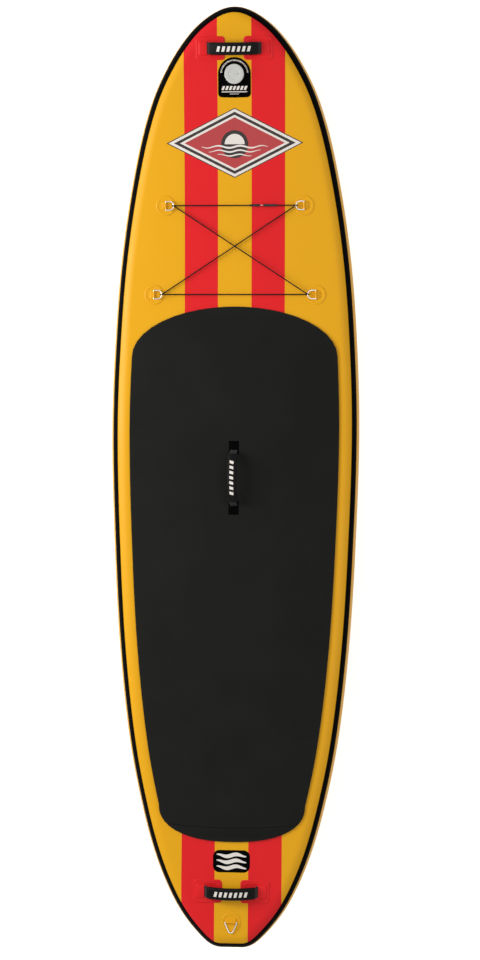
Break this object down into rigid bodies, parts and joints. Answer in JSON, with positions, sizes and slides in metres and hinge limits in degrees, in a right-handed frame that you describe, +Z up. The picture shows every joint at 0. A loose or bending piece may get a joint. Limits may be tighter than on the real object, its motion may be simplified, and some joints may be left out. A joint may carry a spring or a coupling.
{
  "type": "stand-up paddle board",
  "caption": "Inflatable stand-up paddle board with a foam deck pad, carry handles, a laced cargo cord, an inflation valve, a tail ring and a removable centre fin.",
  "frame": {"origin": "on the bottom skin's flat middle, on the centre line, halfway between nose and tail", "axes": "+Y towards the nose, +X towards the board's right-hand rail as the paddler faces the nose, +Z up out of the deck"},
  "size_m": [0.8572, 3.2, 0.4983],
  "materials": {
    "yellow_pvc": "smooth coated fabric, satin",
    "red_pvc": "smooth coated fabric, satin",
    "black_pvc": "smooth coated fabric, satin",
    "pad_foam": "brushed closed-cell foam, matt",
    "webbing": "woven strap, matt",
    "grip": "soft foam sleeve, matt",
    "steel": "polished stainless wire",
    "cord": "braided elastic cord, matt",
    "textile": "woven polyester sheets joined by yarn",
    "valve_plastic": "moulded, satin",
    "black_plastic": "moulded, satin",
    "seal_rubber": "soft moulded rubber"
  },
  "bodies": {
    "board": {"bottom_skin": "yellow_pvc", "deck_skin": "yellow_pvc", "rail_wall_left": "yellow_pvc", "rail_wall_right": "yellow_pvc", "lower_rail_tape": "yellow_pvc", "upper_rail_tape": "black_pvc", "drop_stitch_core": "textile", "deck_pad": "pad_foam", "nose_handle_patch_left": "red_pvc", "nose_handle_patch_right": "red_pvc", "centre_handle_patch_front": "black_pvc", "centre_handle_patch_rear": "black_pvc", "tail_handle_patch_left": "red_pvc", "tail_handle_patch_right": "red_pvc", "front_ring_left_patch": "yellow_pvc", "front_ring_left_tab": "yellow_pvc", "front_ring_right_patch": "yellow_pvc", "front_ring_right_tab": "yellow_pvc", "rear_ring_left_patch": "yellow_pvc", "rear_ring_left_tab": "yellow_pvc", "rear_ring_right_patch": "yellow_pvc", "rear_ring_right_tab": "yellow_pvc", "tail_ring_patch": "yellow_pvc", "tail_ring_tab": "yellow_pvc", "cargo_cord": "cord", "cord_sleeve_left": "black_plastic", "cord_sleeve_right": "black_plastic", "cord_hook": "steel", "valve_patch": "black_pvc", "valve_body": "valve_plastic", "valve_nut": "valve_plastic", "fin_box_patch": "black_pvc", "fin_box": "black_plastic", "side_fin_left": "black_plastic", "side_fin_right": "black_plastic"},
    "nose_grip": {"nose_handle_grip": "grip", "nose_handle_webbing": "webbing"},
    "centre_grip": {"centre_handle_grip": "grip", "centre_handle_webbing": "webbing"},
    "tail_grip": {"tail_handle_grip": "grip", "tail_handle_webbing": "webbing"},
    "ring_front_left": {"front_ring_left": "steel"},
    "ring_front_right": {"front_ring_right": "steel"},
    "ring_rear_left": {"rear_ring_left": "steel"},
    "ring_rear_right": {"rear_ring_right": "steel"},
    "ring_tail": {"tail_ring": "steel"},
    "cap_lift": {"cap_seal": "seal_rubber"},
    "cap_turn": {"valve_cap": "valve_plastic"},
    "stem": {"valve_stem": "valve_plastic", "valve_seal": "seal_rubber", "valve_spring": "steel"},
    "fin": {"centre_fin": "black_plastic", "fin_pin": "steel", "fin_nut_plate": "steel"},
    "screw": {"fin_screw": "steel"}
  },
  "joints": [
    {"name": "nose_handle_flop", "type": "hinge", "parent": "board", "child": "nose_grip", "pos_m": [0, 1.45146, 0.25915], "axis": [1, 0, 0], "range_deg": [-36, 20], "deforming": ["nose_handle_webbing"]},
    {"name": "centre_handle_flop", "type": "hinge", "parent": "board", "child": "centre_grip", "pos_m": [0, 0.012, 0.1531], "axis": [0, 1, 0], "range_deg": [-40, 50], "deforming": ["centre_handle_webbing"]},
    {"name": "tail_handle_flop", "type": "hinge", "parent": "board", "child": "tail_grip", "pos_m": [0, -1.39584, 0.17331], "axis": [1, 0, 0], "range_deg": [-36, 20], "deforming": ["tail_handle_webbing"]},
    {"name": "front_ring_left_lift", "type": "hinge", "parent": "board", "child": "ring_front_left", "pos_m": [-0.236, 0.93646, 0.18202], "axis": [0, -0.9951, -0.099], "range_deg": [-13, 70], "deforming": ["cargo_cord"]},
    {"name": "front_ring_right_lift", "type": "hinge", "parent": "board", "child": "ring_front_right", "pos_m": [0.236, 0.93646, 0.18202], "axis": [0, 0.9951, 0.099], "range_deg": [-13, 70], "deforming": ["cargo_cord"]},
    {"name": "rear_ring_left_lift", "type": "hinge", "parent": "board", "child": "ring_rear_left", "pos_m": [-0.277, 0.63677, 0.16099], "axis": [0, -0.9991, -0.0421], "range_deg": [-13, 70], "deforming": ["cargo_cord"]},
    {"name": "rear_ring_right_lift", "type": "hinge", "parent": "board", "child": "ring_rear_right", "pos_m": [0.277, 0.63677, 0.16099], "axis": [0, 0.9991, 0.0421], "range_deg": [-13, 70], "deforming": ["cargo_cord"]},
    {"name": "tail_ring_flip", "type": "hinge", "parent": "board", "child": "ring_tail", "pos_m": [0, -1.4986, 0.18266], "axis": [-1, 0, 0], "range_deg": [0, 160]},
    {"name": "valve_cap_lift", "type": "slide", "parent": "board", "child": "cap_lift", "axis": [0, -0.1893, 0.9819], "range_m": [0, 0.03]},
    {"name": "valve_cap_turn", "type": "hinge", "parent": "cap_lift", "child": "cap_turn", "pos_m": [0, 1.3688, 0.23927], "axis": [0, -0.1893, 0.9819], "range_deg": [0, 90]},
    {"name": "valve_stem_push", "type": "slide", "parent": "board", "child": "stem", "axis": [0, 0.1893, -0.9819], "range_m": [0, 0.005], "stiffness_N_per_m": 300, "deforming": ["valve_spring"]},
    {"name": "centre_fin_slide", "type": "slide", "parent": "board", "child": "fin", "axis": [0, 0.9988, -0.0484], "range_m": [0, 0.03]},
    {"name": "fin_screw_turn", "type": "hinge", "parent": "fin", "child": "screw", "pos_m": [0, -1.1828, -0.0062], "axis": [0, 0.0484, 0.9988], "continuous": true}
  ]
}
